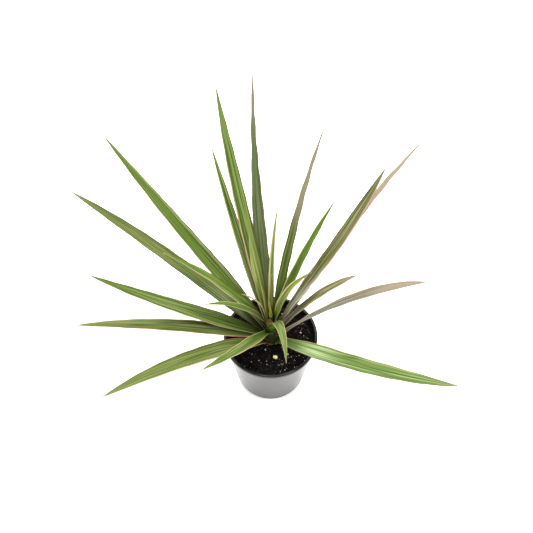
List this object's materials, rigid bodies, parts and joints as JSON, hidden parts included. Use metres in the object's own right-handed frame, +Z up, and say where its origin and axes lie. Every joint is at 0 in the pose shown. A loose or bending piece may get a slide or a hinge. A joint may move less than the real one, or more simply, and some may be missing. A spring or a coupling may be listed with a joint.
{
  "type": "potted dracaena",
  "caption": "Young dracaena with long arching sword-shaped leaves on a short cane, growing in a round tapered nursery pot filled with soil.",
  "frame": {"origin": "middle of the pot's underside, on the pot's axis", "axes": "+Z up along the pot's axis, -Y towards the viewer, +X to the viewer's right"},
  "size_m": [0.3827, 0.2941, 0.3848],
  "materials": {
    "pot_plastic": "black moulded polypropylene, half gloss",
    "potting_soil": "dark damp peat and bark with pale grains",
    "cane": "ringed cane with dry tan leaf sheaths",
    "spear": "rolled young leaves, yellow-green, satin",
    "leaf_old": "olive leaf with cream and red-brown margins, satin",
    "leaf_mature": "green leaf with fine lengthwise ribs and cream margins, satin",
    "leaf_young": "bright yellow-green leaf with cream margins, satin"
  },
  "bodies": {
    "root": {"pot": "pot_plastic", "soil": "potting_soil", "stem": "cane", "spear": "spear", "leaf_01": "leaf_old", "leaf_02": "leaf_old", "leaf_03": "leaf_old", "leaf_04": "leaf_old", "leaf_05": "leaf_old", "leaf_06": "leaf_old", "leaf_07": "leaf_old", "leaf_08": "leaf_old", "leaf_09": "leaf_old", "leaf_10": "leaf_mature", "leaf_11": "leaf_mature", "leaf_12": "leaf_mature", "leaf_13": "leaf_mature", "leaf_14": "leaf_mature", "leaf_15": "leaf_mature", "leaf_16": "leaf_mature", "leaf_17": "leaf_young", "leaf_18": "leaf_young", "leaf_19": "leaf_young", "leaf_20": "leaf_young", "leaf_21": "leaf_young", "leaf_22": "leaf_young", "leaf_23": "leaf_young", "leaf_24": "leaf_young", "leaf_25": "leaf_young"}
  },
  "joints": []
}
